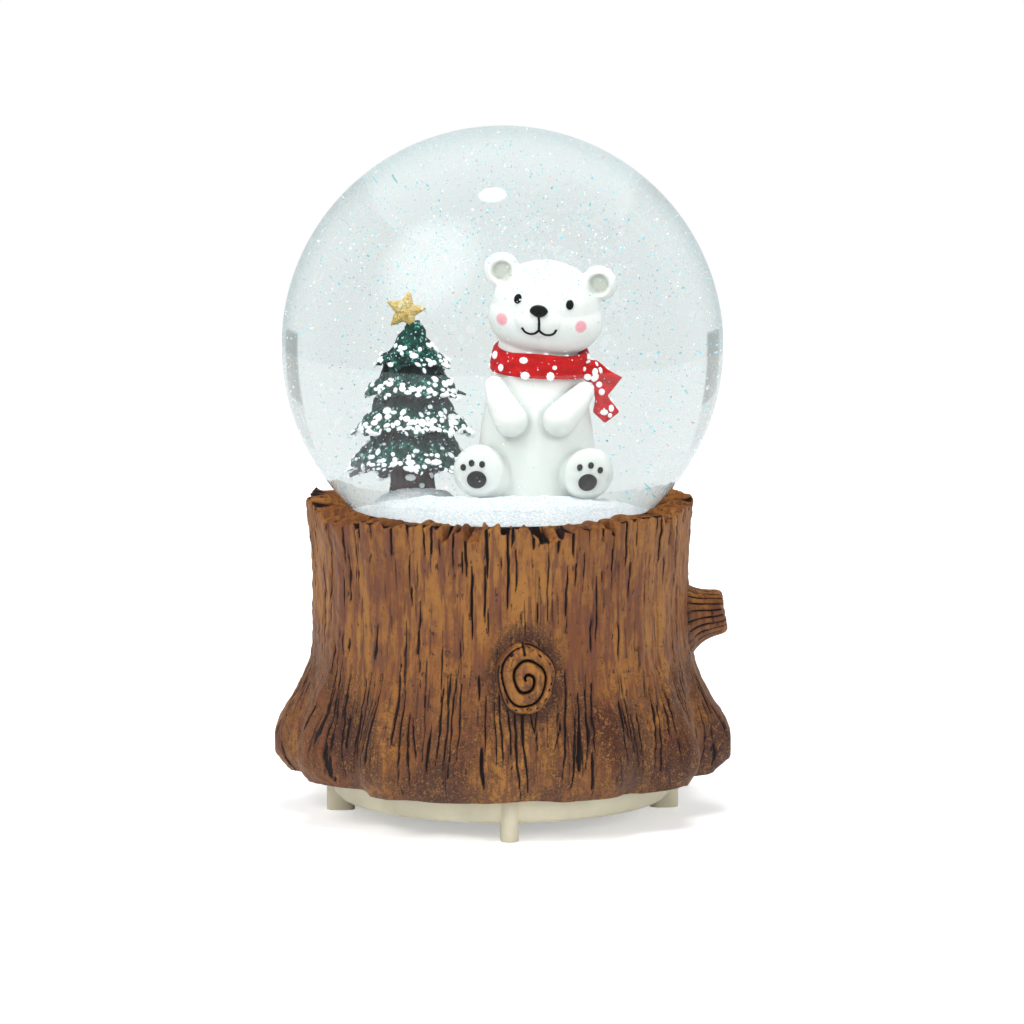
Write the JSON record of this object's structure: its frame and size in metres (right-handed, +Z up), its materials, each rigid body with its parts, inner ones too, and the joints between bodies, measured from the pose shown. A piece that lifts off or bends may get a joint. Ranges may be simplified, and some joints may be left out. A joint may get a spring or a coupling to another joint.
{
  "type": "snow globe",
  "caption": "Wind-up musical snow globe: a liquid-filled glass ball with a bear and a fir tree, on a tree-stump base that hides the music movement.",
  "frame": {"origin": "on the standing surface, under the centre of the ball", "axes": "+Z up, front towards -Y, +X to the viewer's right"},
  "size_m": [0.1038, 0.1, 0.156],
  "materials": {
    "bark_resin": "mottled satin paint on cast resin",
    "cream_plastic": "satin",
    "glass": "polished clear",
    "liquid": "clear liquid with glitter",
    "rubber": "matt",
    "plaster": "matt set adhesive",
    "snow": "granular",
    "bear_paint": "gloss paint on cast resin",
    "scarf_paint": "gloss paint",
    "fir_paint": "glittered",
    "trunk_paint": "satin",
    "gold_glitter": "glittered",
    "steel": "plated",
    "spring_steel": "blued",
    "zinc": "die cast",
    "brass": "machined",
    "nylon": "natural"
  },
  "bodies": {
    "housing": {"tree_stump": "bark_resin", "base_plate": "cream_plastic", "glass_globe": "glass", "rubber_stopper": "rubber", "bonding_collar": "plaster", "snow_mound": "snow", "loose_snow": "snow", "liquid_fill": "liquid", "bear_figure": "bear_paint", "scarf_wrap": "scarf_paint", "scarf_tails": "scarf_paint", "fir_tree": "fir_paint", "tree_trunk": "trunk_paint", "tree_star": "gold_glitter", "bedplate": "zinc", "spring_cage": "zinc", "cage_lid": "zinc", "mainspring": "spring_steel", "tone_comb": "spring_steel", "comb_screw_1": "steel", "comb_screw_2": "steel", "governor_bracket": "zinc", "base_screw_1": "steel", "base_screw_2": "steel", "base_screw_3": "steel", "base_screw_4": "steel", "bedplate_screw_1": "steel", "bedplate_screw_2": "steel", "bedplate_screw_3": "steel"},
    "key": {"winding_key": "steel", "winding_arbor": "steel", "great_wheel": "brass"},
    "cylinder": {"cylinder_shaft": "steel", "cylinder_pinion": "brass", "music_cylinder": "brass", "cylinder_wheel": "brass"},
    "second_shaft": {"governor_shaft": "steel", "governor_pinion": "brass", "worm_wheel": "nylon"},
    "governor": {"worm_spindle": "steel", "air_brake": "nylon"}
  },
  "joints": [
    {"name": "key_turn", "type": "hinge", "parent": "housing", "child": "key", "pos_m": [0, 0, 0.0085], "axis": [0, 0, 1], "continuous": true},
    {"name": "cylinder_turn", "type": "hinge", "parent": "housing", "child": "cylinder", "pos_m": [0.0222, 0, 0.03354], "axis": [1, 0, 0], "continuous": true},
    {"name": "second_shaft_turn", "type": "hinge", "parent": "housing", "child": "second_shaft", "pos_m": [0.0275, -0.01045, 0.03354], "axis": [1, 0, 0], "continuous": true},
    {"name": "governor_turn", "type": "hinge", "parent": "housing", "child": "governor", "pos_m": [0.024, -0.01605, 0.03354], "axis": [0, 0, 1], "continuous": true}
  ],
  "couplings": [
    {"joint": "cylinder_turn", "follows": "key_turn", "ratio": 3},
    {"joint": "second_shaft_turn", "follows": "key_turn", "ratio": -11.25},
    {"joint": "governor_turn", "follows": "key_turn", "ratio": -180}
  ]
}
